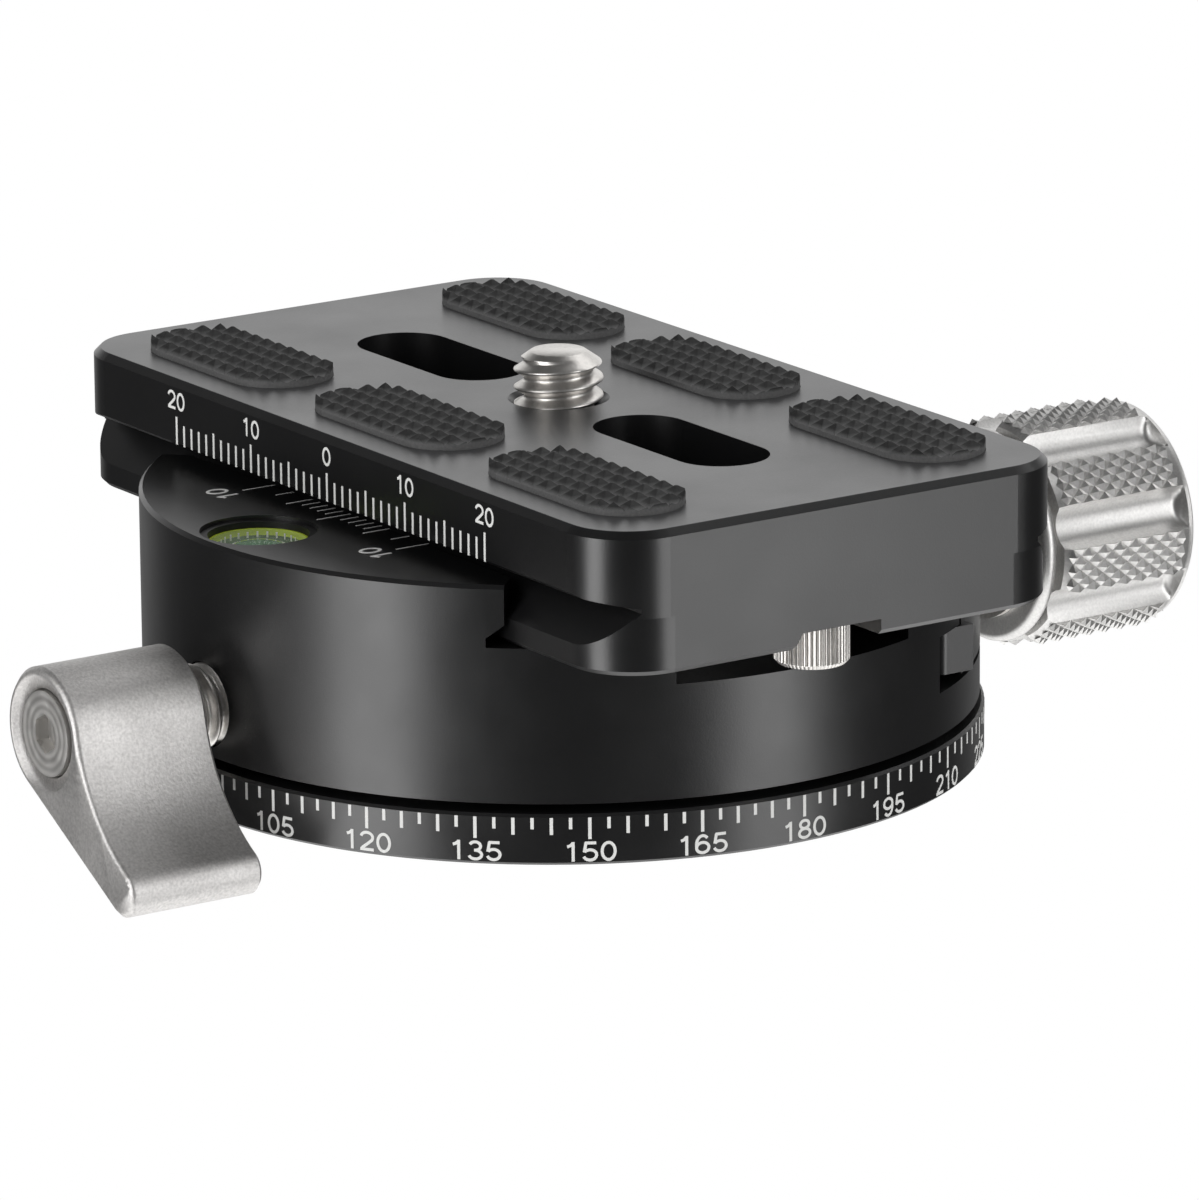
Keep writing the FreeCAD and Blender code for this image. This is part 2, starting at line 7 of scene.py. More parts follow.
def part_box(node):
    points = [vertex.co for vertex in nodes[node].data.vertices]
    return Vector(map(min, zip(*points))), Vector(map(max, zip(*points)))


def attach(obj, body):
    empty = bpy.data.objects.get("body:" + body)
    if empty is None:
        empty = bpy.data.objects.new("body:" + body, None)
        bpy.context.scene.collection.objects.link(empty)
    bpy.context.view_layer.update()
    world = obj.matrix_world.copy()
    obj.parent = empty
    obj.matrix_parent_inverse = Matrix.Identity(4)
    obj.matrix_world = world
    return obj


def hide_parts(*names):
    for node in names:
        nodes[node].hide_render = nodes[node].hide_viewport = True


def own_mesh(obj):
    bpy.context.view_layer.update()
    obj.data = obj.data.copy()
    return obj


# Panoramic tripod head: finishes, scales, pads, knurls, threads, spring and level, around the fixed frame.
mm = 0.001
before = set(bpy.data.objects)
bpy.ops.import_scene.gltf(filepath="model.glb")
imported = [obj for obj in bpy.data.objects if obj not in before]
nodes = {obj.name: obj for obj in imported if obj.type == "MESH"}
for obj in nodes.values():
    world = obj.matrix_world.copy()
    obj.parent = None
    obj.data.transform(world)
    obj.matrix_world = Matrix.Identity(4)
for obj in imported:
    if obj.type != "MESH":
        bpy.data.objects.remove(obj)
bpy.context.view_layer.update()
print("frame:", len(nodes), "nodes")

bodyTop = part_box("head_body")[1].z
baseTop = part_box("base_disc")[1].z
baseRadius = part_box("base_disc")[1].x
plateLow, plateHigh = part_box("quick_release_plate")
# Points nearer than this are merged, in meshes made here and in the CAD nodes' own
mergeMade, mergeCad = 0.0005 * mm, 0.001 * mm


def linear(hexColour, alpha=1.0):
    # sRGB hex to the linear values that nodes take
    channels = []
    for i in (1, 3, 5):
        c = int(hexColour[i:i + 2], 16) / 255
        channels.append(c / 12.92 if c <= 0.04045 else ((c + 0.055) / 1.055) ** 2.4)
    return (*channels, alpha)


def addNode(tree, kind, settings=None, links=None):
    # A node, its settings by attribute or by input, and what is linked into it
    node = tree.nodes.new(kind)
    for key, value in (settings or {}).items():
        if isinstance(key, str) and hasattr(node, key):
            setattr(node, key, value)
        else:
            node.inputs[key].default_value = value
    for key, source in (links or {}).items():
        tree.links.new(source, node.inputs[key])
    return node


# Finishes

def newMaterial(name, settings):
    material = bpy.data.materials.new(name)
    material.use_nodes = True
    tree = material.node_tree
    shader = tree.nodes["Principled BSDF"]
    for key, value in settings.items():
        shader.inputs[key].default_value = value
    place = addNode(tree, "ShaderNodeTexCoord").outputs["Object"]
    return material, tree, shader, place


def addTooth(tree, shader, place, grain, depth):
    # Fine blasted or turned tooth: grain is its width in mm, depth its height in mm
    fine = addNode(tree, "ShaderNodeTexNoise", {"Scale": 1 / (grain * mm), "Detail": 3.0}, {"Vector": place})
    bump = addNode(tree, "ShaderNodeBump", {"Distance": depth * mm}, {"Height": fine.outputs["Fac"]})
    tree.links.new(bump.outputs["Normal"], shader.inputs["Normal"])
    return fine.outputs["Fac"]


def ramp(tree, source, start, end, low=0.0, high=1.0, kind="LINEAR"):
    # Low up to start, high from end on
    return addNode(tree, "ShaderNodeMapRange", {
        "interpolation_type": kind, "From Min": start, "From Max": end, "To Min": low, "To Max": high},
        {"Value": source}).outputs["Result"]


def axisOf(tree, vector, axis):
    return addNode(tree, "ShaderNodeSeparateXYZ", {}, {"Vector": vector}).outputs[axis]


def addDrift(tree, shader, place, patch, low, high):
    # A slow change of the roughness over patches of that many mm; the noise mostly lies between 0.3 and 0.7
    slow = addNode(tree, "ShaderNodeTexNoise", {"Scale": 1 / (patch * mm), "Detail": 4.0}, {"Vector": place})
    tree.links.new(ramp(tree, slow.outputs["Fac"], 0.3, 0.7, low, high), shader.inputs["Roughness"])


def mixColours(tree, factor, low, high):
    # Each colour is a hex value or a socket
    mix = addNode(tree, "ShaderNodeMix", {"data_type": "RGBA"}, {0: factor})
    for i, colour in ((6, low), (7, high)):
        if isinstance(colour, str):
            mix.inputs[i].default_value = linear(colour)
        else:
            tree.links.new(colour, mix.inputs[i])
    return mix.outputs[2]


plainFinishes = {
    # Bead-blasted aluminium, dyed black: a soft sheen over a fine tooth, no clear reflections
    "black": {"name": "beadBlastedBlackAnodising", "inputs": {"IOR": 1.7}, "grain": 0.14, "depth": 0.005,
              "patch": 6.0, "rough": (0.3, 0.36), "colours": ("#070708", "#111112")},
    # Turned aluminium, clear anodised: bright, with the lathe's fine lines blurred by the anodising
    "silver": {"name": "satinClearAnodising", "inputs": {"Metallic": 1.0}, "grain": 0.2, "depth": 0.008,
               "patch": 4.0, "rough": (0.4, 0.48), "colours": ("#c4c3c2", "#efeeec")},
    # Cast and bead-blasted aluminium, pearl silver: visible sparkle of the blasted grain
    "pearl": {"name": "beadBlastedPearlSilver", "inputs": {"Metallic": 1.0}, "grain": 0.2, "depth": 0.02,
              "patch": 5.0, "rough": (0.5, 0.58), "colours": ("#aeacab", "#f0eeec")},
    # Rolled and turned stainless steel: bright and slightly warm
    "steel": {"name": "turnedStainless", "inputs": {"Metallic": 1.0}, "grain": 0.3, "depth": 0.004,
              "patch": 2.0, "rough": (0.32, 0.42), "colours": ("#d2cfcb", "#f4f1ed")},
    # Machined bearing plastic: smooth, waxy and black
    "acetal": {"name": "blackAcetal", "inputs": {"IOR": 1.48}, "grain": 0.5, "depth": 0.003,
               "patch": 3.0, "rough": (0.4, 0.5), "colours": ("#0d0d0d", "#161616")},
    # Plain machined brass, a little dull
    "brass": {"name": "machinedBrass", "inputs": {"Metallic": 1.0}, "grain": 0.3, "depth": 0.005,
              "patch": 2.0, "rough": (0.26, 0.38), "colours": ("#9c7c3c", "#c9a55c")},
    # Pad-printed white ink: flat and slightly uneven
    "ink": {"name": "printedWhiteInk", "inputs": {}, "grain": 0.1, "depth": 0.002,
            "patch": 1.0, "rough": (0.55, 0.7), "colours": ("#d2d2d0", "#e8e8e6")},
}


def plainFinish(s):
    # A fine tooth, a roughness that drifts, and two colours mixed by the tooth
    material, tree, shader, place = newMaterial(s["name"], s["inputs"])
    grit = addTooth(tree, shader, place, s["grain"], s["depth"])
    addDrift(tree, shader, place, s["patch"], *s["rough"])
    tree.links.new(mixColours(tree, grit, *s["colours"]), shader.inputs["Base Color"])
    return material


def satinGreyAnodising():
    # The plate: black anodised, its upper face coloured a lighter grey than its sides
    topBand = 0.05 * mm
    material, tree, shader, place = newMaterial("satinGreyAnodising", {"IOR": 1.7})
    grit = addTooth(tree, shader, place, 0.16, 0.004)
    addDrift(tree, shader, place, 8.0, 0.29, 0.35)
    top = ramp(tree, axisOf(tree, place, "Z"), plateHigh.z - topBand, plateHigh.z)
    side = mixColours(tree, grit, "#070708", "#111112")
    face = mixColours(tree, grit, "#262627", "#444445")
    tree.links.new(mixColours(tree, top, side, face), shader.inputs["Base Color"])
    return material


def facedStainless():
    # The lever screw: stainless steel with the lathe's rings on its face, and painted shade in the hex socket
    spacing = 0.62  # mm between rings, wider than the real ones so that they show
    socketEdge, socketDeep = 0.05 * mm, 0.3 * mm
    low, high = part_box("lever_screw")
    material, tree, shader, place = newMaterial("facedStainless", {"Metallic": 1.0})
    centred = addNode(tree, "ShaderNodeMapping", {"Location": (0, 0, -(low.z + high.z) / 2)},
                      {"Vector": place})
    # The wave repeats every pi / 10 over its scale
    rings = addNode(tree, "ShaderNodeTexWave", {
        "wave_type": "RINGS", "rings_direction": "X", "Scale": math.pi / 10 / (spacing * mm),
        "Distortion": 0.4}, {"Vector": centred.outputs["Vector"]}).outputs["Fac"]
    bump = addNode(tree, "ShaderNodeBump", {"Distance": 0.02 * mm}, {"Height": rings})
    tree.links.new(bump.outputs["Normal"], shader.inputs["Normal"])
    addDrift(tree, shader, place, 1.0, 0.46, 0.56)
    # Painted shade: the colour darkens from the socket's rim inwards
    sunk = ramp(tree, axisOf(tree, place, "X"), low.x + socketEdge, low.x + socketDeep)
    face = mixColours(tree, rings, "#d2d0cd", "#f8f6f3")
    tree.links.new(mixColours(tree, sunk, face, "#c6c4c1"), shader.inputs["Base Color"])
    return material


def mouldedRubber():
    # Moulded rubber: near black, matt, with a paler painted sheen in its valleys
    pointHeight, sheenTop, sheenFull = 0.6 * mm, 0.3 * mm, 0.05 * mm
    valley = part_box("rubber_pads")[1].z - pointHeight
    material, tree, shader, place = newMaterial("mouldedBlackRubber", {"IOR": 1.5})
    grit = addTooth(tree, shader, place, 0.18, 0.008)
    addDrift(tree, shader, place, 2.5, 0.5, 0.66)
    # Painted sheen: the valleys are coloured paler, fading out towards the points
    valleySheen = ramp(tree, axisOf(tree, place, "Z"), valley + sheenTop, valley + sheenFull)
    black = mixColours(tree, grit, "#131313", "#292929")
    sheenGrey = mixColours(tree, grit, "#4a4a4a", "#6c6c6c")
    tree.links.new(mixColours(tree, valleySheen, black, sheenGrey), shader.inputs["Base Color"])
    return material


def levelWell():
    # The cup that holds the fluid: yellow-green wall, deep green floor
    wallStart, wallFull = 0.35 * mm, 0.2 * mm
    low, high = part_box("level_vial")
    edge = (high.x - low.x) / 2
    material, tree, shader, place = newMaterial("paintedLevelWell", {"IOR": 1.5})
    local = addNode(tree, "ShaderNodeMapping", {"Location": ((low + high) / -2 * Vector((1, 1, 0)))[:]},
                    {"Vector": place})
    flat = addNode(tree, "ShaderNodeVectorMath", {"operation": "MULTIPLY", 1: (1, 1, 0)},
                   {0: local.outputs["Vector"]})
    away = addNode(tree, "ShaderNodeVectorMath", {"operation": "LENGTH"}, {0: flat.outputs["Vector"]})
    wall = ramp(tree, away.outputs["Value"], edge - wallStart, edge - wallFull)
    addDrift(tree, shader, place, 1.5, 0.7, 0.8)
    tree.links.new(mixColours(tree, wall, "#0d4338", "#b2c528"), shader.inputs["Base Color"])
    return material


def levelFluid():
    # Spirit under clear moulded acrylic: transparent, polished, a trace of green
    material, tree, shader, place = newMaterial("clearLevelAcrylic", {
        "Base Color": linear("#dfeec8"), "IOR": 1.49, "Alpha": 0.12})
    addDrift(tree, shader, place, 2.0, 0.02, 0.05)
    return material


def bubbleSkin():
    # The air bubble's skin: pale green, seen by its highlight
    material, tree, shader, place = newMaterial("levelBubbleSkin", {"IOR": 1.33, "Coat Weight": 1.0})
    addDrift(tree, shader, place, 1.0, 0.04, 0.1)
    fine = addNode(tree, "ShaderNodeTexNoise", {"Scale": 1 / (0.8 * mm)}, {"Vector": place})
    tree.links.new(mixColours(tree, fine.outputs["Fac"], "#0f5648", "#2f8f72"), shader.inputs["Base Color"])
    return material


finishes = {key: plainFinish(s) for key, s in plainFinishes.items()}
finishes.update({
    "plate": satinGreyAnodising(), "faced": facedStainless(), "rubber": mouldedRubber(),
    "well": levelWell(), "fluid": levelFluid(), "bubble": bubbleSkin(),
})
print("finishes:", len(finishes))

cadFinishes = {
    "base_disc": "black", "spindle": "black", "head_body": "black", "movable_jaw": "black",
    "quick_release_plate": "plate", "clamp_knob": "silver", "lever_handle": "pearl", "lever_screw": "faced",
    "thrust_ring": "acetal", "glide_ring": "acetal", "channel_cap": "acetal", "level_housing": "acetal",
    "level_vial": "well", "brake_shoe": "brass", "rubber_pads": "rubber",
}
for nodeName, cadObject in nodes.items():
    finish = finishes[cadFinishes.get(nodeName, "steel")]
    cadObject.data.materials.clear()
    cadObject.data.materials.append(finish)


# Making and placing meshes

def showMesh(name, bm, finish, place=None, sharp=35):
    # A finished piece: its place goes into the mesh, and edges over the sharp angle stay crisp
    bmesh.ops.remove_doubles(bm, verts=bm.verts, dist=mergeMade)
    if place is not None:
        bm.transform(place)
    bmesh.ops.recalc_face_normals(bm, faces=bm.faces)
    mesh = bpy.data.meshes.new(name)
    bm.to_mesh(mesh)
    bm.free()
    return showPiece(name, mesh, finish, sharp)


def showPiece(name, mesh, finish, sharp=35):
    mesh.materials.clear()
    mesh.materials.append(finishes[finish])
    mesh.polygons.foreach_set("use_smooth", [True] * len(mesh.polygons))
    mesh.set_sharp_from_angle(angle=math.radians(sharp))
    piece = bpy.data.objects.new(name, mesh)
    bpy.context.scene.collection.objects.link(piece)
    return piece


def loftRings(bm, rings, turns):
    # Rings of (height, radius) about Z, joined in order; a radius may depend on the angle, and 0 is a point
    loops = []
    for height, radius in rings:
        if radius == 0:
            loops.append([bm.verts.new((0, 0, height * mm))])
            continue
        loop = []
        for turn in turns:
            r = (radius(turn) if callable(radius) else radius) * mm
            loop.append(bm.verts.new((r * math.cos(turn), r * math.sin(turn), height * mm)))
        loops.append(loop)
    for low, high in zip(loops, loops[1:]):
        for i in range(len(turns)):
            j = (i + 1) % len(turns)
            corners = [low[i % len(low)], low[j % len(low)], high[j % len(high)], high[i % len(high)]]
            corners = list(dict.fromkeys(corners))
            bm.faces.new(corners)


def evenTurns(count):
    return [2 * math.pi * i / count for i in range(count)]


def threadOn(bm, thread, start, end, limit):
    # A right-hand thread between two heights; limit gives the most radius at a height
    steps, columns = thread["steps"], thread["columns"]
    pitch = thread["pitch"]
    rows = int((end - start) / pitch + 2) * steps
    grid = []
    for row in range(rows + 1):
        away = abs(row / steps % 1 - 0.5) * 2
        slope = min(1.0, max(0.0, (away - thread["crest"]) / (1 - thread["crest"] - thread["root"])))
        ridge = thread["radius"] - thread["depth"] * slope
        line = []
        for column in range(columns + 1):
            turn = 2 * math.pi * column / columns
            height = start - pitch + (row / steps + column / columns) * pitch
            height = min(end, max(start, height))
            r = min(ridge, limit(height)) * mm
            line.append(bm.verts.new((r * math.cos(turn), r * math.sin(turn), height * mm)))
        grid.append(line)
    for low, high in zip(grid, grid[1:]):
        for i in range(columns):
            bm.faces.new((low[i], low[i + 1], high[i + 1], high[i]))


def cadPart(name, below=None):
    # A merged copy of a CAD node's mesh, kept below a value in m along an axis
    bm = bmesh.new()
    bm.from_mesh(nodes[name].data)
    bmesh.ops.remove_doubles(bm, verts=bm.verts, dist=mergeCad)
    if below is not None:
        axis, value = below
        point, normal = Vector((0, 0, 0)), Vector((0, 0, 0))
        point[axis], normal[axis] = value, 1
        geometry = list(bm.verts) + list(bm.edges) + list(bm.faces)
        bmesh.ops.bisect_plane(bm, geom=geometry, plane_co=point, plane_no=normal, clear_outer=True)
    return bm


def addTo(bm, other, place=None):
    # Puts another bmesh into this one
    if place is not None:
        other.transform(place)
    mesh = bpy.data.meshes.new("part")
    other.to_mesh(mesh)
    other.free()
    bm.from_mesh(mesh)
    bpy.data.meshes.remove(mesh)


# Geometry Nodes: what repeats is set on the points of a guide mesh

def guidePoints(name, rows):
    # Each row: place, direction it faces, direction it lies along, length; all in m
    mesh = bpy.data.meshes.new(name)
    mesh.from_pydata([row[0] for row in rows], [], [])
    columns = (("facing", "FLOAT_VECTOR", 1), ("along", "FLOAT_VECTOR", 2), ("length", "FLOAT", 3))
    for title, kind, column in columns:
        attribute = mesh.attributes.new(title, kind, "POINT")
        for i, row in enumerate(rows):
            if kind == "FLOAT":
                attribute.data[i].value = row[column]
            else:
                attribute.data[i].vector = row[column]
    guide = bpy.data.objects.new(name, mesh)
    bpy.context.scene.collection.objects.link(guide)
    return guide


def newTree(name, inputs):
    tree = bpy.data.node_groups.new(name, "GeometryNodeTree")
    tree.interface.new_socket("Geometry", in_out="OUTPUT", socket_type="NodeSocketGeometry")
    tree.interface.new_socket("Geometry", in_out="INPUT", socket_type="NodeSocketGeometry")
    for title, kind in inputs.items():
        tree.interface.new_socket(title, in_out="INPUT", socket_type=kind)
    return tree, addNode(tree, "NodeGroupInput").outputs


def setOnGuide(tree, inputs, shape, scale):
    # Ends a tree: the shape on each guide point, turned to its attributes, as one plain mesh
    facing, along = (addNode(tree, "GeometryNodeInputNamedAttribute", {
        "data_type": "FLOAT_VECTOR", "Name": name}).outputs["Attribute"] for name in ("facing", "along"))
    turn = addNode(tree, "FunctionNodeAxesToRotation", {"primary_axis": "Z", "secondary_axis": "X"},
                   {0: facing, 1: along})
    copies = addNode(tree, "GeometryNodeInstanceOnPoints", {}, {
        "Points": inputs["Geometry"], "Instance": shape, "Rotation": turn.outputs["Rotation"],
        "Scale": scale})
    real = addNode(tree, "GeometryNodeRealizeInstances", {}, {"Geometry": copies.outputs["Instances"]})
    coated = addNode(tree, "GeometryNodeSetMaterial", {}, {
        "Geometry": real.outputs["Geometry"], "Material": inputs["Finish"]})
    addNode(tree, "NodeGroupOutput", {}, {"Geometry": coated.outputs["Geometry"]})


def scaleMarkTree():
    # A printed mark: a thin bar from each point, along its direction
    tree, inputs = newTree("scaleMarks", {
        "Width": "NodeSocketFloat", "Thickness": "NodeSocketFloat", "Finish": "NodeSocketMaterial"})
    bar = addNode(tree, "GeometryNodeMeshCube")
    shifted = addNode(tree, "GeometryNodeTransform", {"Translation": (0.5, 0, 0)},
                      {"Geometry": bar.outputs["Mesh"]})
    length = addNode(tree, "GeometryNodeInputNamedAttribute", {"data_type": "FLOAT", "Name": "length"})
    scale = addNode(tree, "ShaderNodeCombineXYZ", {}, {
        "X": length.outputs["Attribute"], "Y": inputs["Width"], "Z": inputs["Thickness"]})
    setOnGuide(tree, inputs, shifted.outputs["Geometry"], scale.outputs["Vector"])
    return tree


def fourSidedPointTree():
    # A small four-sided pyramid on each point
    tree, inputs = newTree("fourSidedPoints", {
        "Half Along": "NodeSocketFloat", "Half Across": "NodeSocketFloat", "Height": "NodeSocketFloat",
        "Finish": "NodeSocketMaterial"})
    point = addNode(tree, "GeometryNodeMeshCone", {
        "fill_type": "NONE", "Vertices": 4, "Radius Top": 0.0, "Radius Bottom": 1.0, "Depth": 1.0})
    scale = addNode(tree, "ShaderNodeCombineXYZ", {}, {
        "X": inputs["Half Along"], "Y": inputs["Half Across"], "Z": inputs["Height"]})
    setOnGuide(tree, inputs, point.outputs["Mesh"], scale.outputs["Vector"])
    return tree


def growMesh(guide, tree, values):
    # Runs a tree on its guide and returns the plain mesh
    modifier = guide.modifiers.new(tree.name, "NODES")
    modifier.node_group = tree
    for item in tree.interface.items_tree:
        if item.in_out == "INPUT" and item.name in values:
            modifier[item.identifier] = values[item.name]
    evaluated = guide.evaluated_get(bpy.context.evaluated_depsgraph_get())
    mesh = bpy.data.meshes.new_from_object(evaluated)
    bpy.data.objects.remove(guide)
    return mesh


markTree = scaleMarkTree()
pointTree = fourSidedPointTree()
print("node trees ready")


# Printed scales

ink = {"width": 0.23, "proud": 0.02, "sunk": 0.03}

ringScale = {
    "step": 2.5, "mediumEvery": 2, "longEvery": 6, "short": 0.8, "medium": 1.2, "long": 1.52,
    "numberEvery": 15, "numberHeight": 1.38, "numberFoot": 0.28, "zeroAt": 90, "markTop": 0.22,
}
indexScale = {
    "width": 0.11, "near": -17.45,
    "lengths": {0: 2.75, 1: 1.45, 2: 1.45, 3: 1.45, 4: 1.45, 5: 2.15, 7.5: 1.45, 10: 2.65},
    "numberFoot": -20.9, "numberHeight": 1.65, "numberAt": 10,
}
plateScale = {
    "foot": 20.75, "reach": 20, "mediumEvery": 5, "longEvery": 10,
    "short": 1.52, "medium": 1.81, "long": 2.03, "numberFoot": 23.3, "numberHeight": 1.32,
}


def markLength(s, i):
    if i % s["longEvery"] == 0:
        return s["long"]
    return s["medium"] if i % s["mediumEvery"] == 0 else s["short"]


def printMarks(name, rows, width=ink["width"]):
    # Marks of white ink; the bar is centred on the surface, so it stands proud by half its thickness
    mesh = growMesh(guidePoints(name + "Guide", rows), markTree, {
        "Width": width * mm, "Thickness": ink["proud"] * 2 * mm, "Finish": finishes["ink"]})
    return showPiece(name, mesh, "ink")


numeral = {"wide": 0.265, "stretch": 1.22, "stroke": 0.15, "advance": 0.92, "arcStep": 15, "arcLeast": 6}


def arc(x, y, across, up, start, end):
    # Points along part of an oval, angles in degrees
    count = max(numeral["arcLeast"], int(abs(end - start) / numeral["arcStep"]))
    turns = [math.radians(start + (end - start) * i / count) for i in range(count + 1)]
    return [(x + across * math.cos(turn), y + up * math.sin(turn)) for turn in turns]


def numeralStrokes():
    # Centre lines of plain upright numerals, one unit tall, each drawn about x = 0
    w = numeral["wide"]
    hook = arc(0, 0.5, w, 0.44, 42, 180) + [(-w, 0.32)]
    bowl = arc(0, 0.325, w, 0.265, 0, 360)
    return {
        "0": [arc(0, 0.5, w, 0.44, 0, 360)],
        "1": [[(0.07, 0), (0.07, 1)], [(-0.17, 0.76), (-0.05, 0.81), (0.06, 0.93)]],
        "2": [arc(0, 0.69, w, 0.25, 172, -32) + [(0.03, 0.36), (-0.2, 0.15), (-w, 0.05)],
              [(-0.31, 0.06), (0.3, 0.06)]],
        "3": [arc(0, 0.725, 0.225, 0.215, 160, -100), arc(0, 0.285, w, 0.225, 100, -165)],
        "4": [[(0.12, 0), (0.12, 1)], [(0.1, 0.97), (-0.29, 0.28)], [(-0.32, 0.26), (0.32, 0.26)]],
        "5": [[(0.25, 0.94), (-0.2, 0.94)], [(-0.16, 0.97), (-0.235, 0.46)],
              arc(0, 0.325, w, 0.265, 145, -162)],
        "6": [hook, bowl],
        "7": [[(-0.29, 0.94), (0.29, 0.94)], [(0.25, 0.92), (0.08, 0.66), (-0.03, 0.36), (-0.09, 0)]],
        "8": [arc(0, 0.735, 0.215, 0.205, 0, 360), arc(0, 0.285, w, 0.23, 0, 360)],
        "9": [[(-x, 1 - y) for x, y in hook], [(-x, 1 - y) for x, y in bowl]],
    }


def ribbonOn(bm, path, half, place):
    # A solid ribbon along a path; place takes across, up and top or foot, and gives the point in m
    closed = (Vector(path[0]) - Vector(path[-1])).length < 1e-6
    points = [Vector(p) for p in (path[:-1] if closed else path)]
    count = len(points)
    rails = []
    for i, point in enumerate(points):
        before = points[i - 1] if closed or i > 0 else point
        after = points[(i + 1) % count] if closed or i < count - 1 else point
        ahead = (after - before).normalized()
        side = Vector((-ahead.y, ahead.x)) * half
        rails.append([bm.verts.new(place(edge.x, edge.y, top))
                      for edge, top in ((point - side, False), (point - side, True), (point + side, True),
                                        (point + side, False))])
    for i in range(count if closed else count - 1):
        a, b = rails[i], rails[(i + 1) % count]
        for k in range(4):
            bm.faces.new((a[k], a[(k + 1) % 4], b[(k + 1) % 4], b[k]))
    if not closed:
        bm.faces.new(rails[0])
        bm.faces.new(rails[-1][::-1])


def printNumbers(name, labels, height, placeOf):
    # Numbers as thin solid strokes; placeOf takes the label's key, then across, up and outwards in mm
    strokes = numeralStrokes()
    bm = bmesh.new()
    for key, text in labels:
        start = -numeral["advance"] * (len(text) - 1) / 2
        for at, digit in enumerate(text):
            for layer, path in enumerate(strokes[digit]):
                def place(x, y, top, shift=start + at * numeral["advance"], layer=layer):
                    # Strokes that cross lie a hair apart, so that no two faces share a plane
                    out = ink["proud"] * (1 - layer / 10) if top else -ink["sunk"] * (1 - layer / 10)
                    return placeOf(key, (x + shift) * height, y * height, out) * mm
                wide = [(x * numeral["stretch"], y) for x, y in path]
                ribbonOn(bm, wide, numeral["stroke"] / 2, place)
    return showMesh(name, bm, "ink")


def makeRingScale():
    s = ringScale
    radius = baseRadius / mm
    rows = []
    for i in range(int(360 / s["step"])):
        turn = math.radians(s["zeroAt"] + i * s["step"])
        length = markLength(s, i)
        out = Vector((math.cos(turn), math.sin(turn), 0))
        foot = baseTop / mm - s["markTop"] - length
        rows.append(((out * radius + Vector((0, 0, foot))) * mm, out, (0, 0, 1), length * mm))
    marks = printMarks("ringScaleMarks", rows)
    labels = [(n, str(n)) for n in range(0, 360, s["numberEvery"])]

    def placeOf(key, across, up, out):
        turn = math.radians(s["zeroAt"] + key) + across / radius
        r = radius + out
        return Vector((r * math.cos(turn), r * math.sin(turn), s["numberFoot"] + up))

    numbers = printNumbers("ringScaleNumbers", labels, s["numberHeight"], placeOf)
    for piece in (marks, numbers):
        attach(piece, "base")


def makeIndexScale():
    s = indexScale
    rows = []
    for offset, length in s["lengths"].items():
        for side in ((1,) if offset == 0 else (-1, 1)):
            foot = Vector((s["near"], side * offset, bodyTop / mm)) * mm
            rows.append((foot, (0, 0, 1), (-1, 0, 0), length * mm))
    marks = printMarks("indexScaleMarks", rows, s["width"])

    def placeOf(key, across, up, out):
        return Vector((s["numberFoot"] - up, key + across, bodyTop / mm + out))

    at = s["numberAt"]
    numbers = printNumbers("indexScaleNumbers", [(-at, str(at)), (at, str(at))], s["numberHeight"], placeOf)
    for piece in (marks, numbers):
        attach(piece, "head")


def makePlateScale():
    s = plateScale
    side = plateLow.x / mm
    rows = []
    for i in range(-s["reach"], s["reach"] + 1):
        length = markLength(s, i)
        rows.append((Vector((side, i, s["foot"])) * mm, (-1, 0, 0), (0, 0, 1), length * mm))
    marks = printMarks("plateScaleMarks", rows)

    def placeOf(key, across, up, out):
        return Vector((side - out, key - across, s["numberFoot"] + up))

    labels = [(n, str(abs(n))) for n in range(-s["reach"], s["reach"] + 1, s["longEvery"])]
    numbers = printNumbers("plateScaleNumbers", labels, s["numberHeight"], placeOf)
    for piece in (marks, numbers):
        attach(piece, "plate")


makeRingScale()
makeIndexScale()
makePlateScale()
print("scales printed")


# Rubber pads

# Sizes in mm and angles in degrees; tip is the share of the solid's flat tip that is kept
pad = {"round": 0.025, "flat": 1.0, "ridge": 25, "tip": 0.35, "tipBand": 0.01}


def makePads():
    # Moulded four-sided points on the solid's own grid, drawn to a small tip, every ridge a little worn
    s = pad
    bm = cadPart("rubber_pads")
    bmesh.ops.dissolve_limit(bm, angle_limit=math.radians(s["flat"]), verts=bm.verts, edges=bm.edges)
    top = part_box("rubber_pads")[1].z
    for tip in [f for f in bm.faces if min(v.co.z for v in f.verts) > top - s["tipBand"] * mm]:
        centre = tip.calc_center_median()
        for v in tip.verts:
            v.co = centre + (v.co - centre) * s["tip"]
    ridges = [e for e in bm.edges if e.is_manifold and e.calc_face_angle() > math.radians(s["ridge"])]
    bmesh.ops.bevel(bm, geom=ridges, offset=s["round"] * mm, segments=1, affect="EDGES", clamp_overlap=True)
    piece = showMesh("pyramidPads", bm, "rubber", sharp=20)
    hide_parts("rubber_pads")
    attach(piece, "plate")


makePads()
print("pads done")


# Clamp knob

knob = {
    "radius": 8.69, "knurl": 0.38, "fluteRadius": 1.7, "flutes": 8, "fluteStart": 13.7,
    "flange": 7.9, "flangeWide": 1.2, "neck": 6.4, "neckWide": 0.5, "length": 11.17, "shoulder": 0.45,
    "slope": 0.75, "endRadius": 8.1, "endWide": 0.53, "endRound": 0.25, "dish": 6.0, "dishDeep": 0.5,
    "bore": 2.5, "boreDeep": 8.5, "axis": 9.7, "diamondAlong": 1.42, "diamondsRound": 48,
    "fluteSteps": 16, "landSteps": 8, "rimSteps": 8, "climbSteps": 6, "knurlFrom": 0.05, "knurlPast": 0.2,
}


def fluteCut(turn, limit):
    # The radius left by the nearest flute at this angle, or the limit
    s = knob
    step = 2 * math.pi / s["flutes"]
    away = (turn + step / 2) % step - step / 2
    side = s["radius"] * math.sin(away)
    if abs(side) >= s["fluteRadius"]:
        return limit
    return min(limit, s["radius"] * math.cos(away) - math.sqrt(s["fluteRadius"] ** 2 - side ** 2))


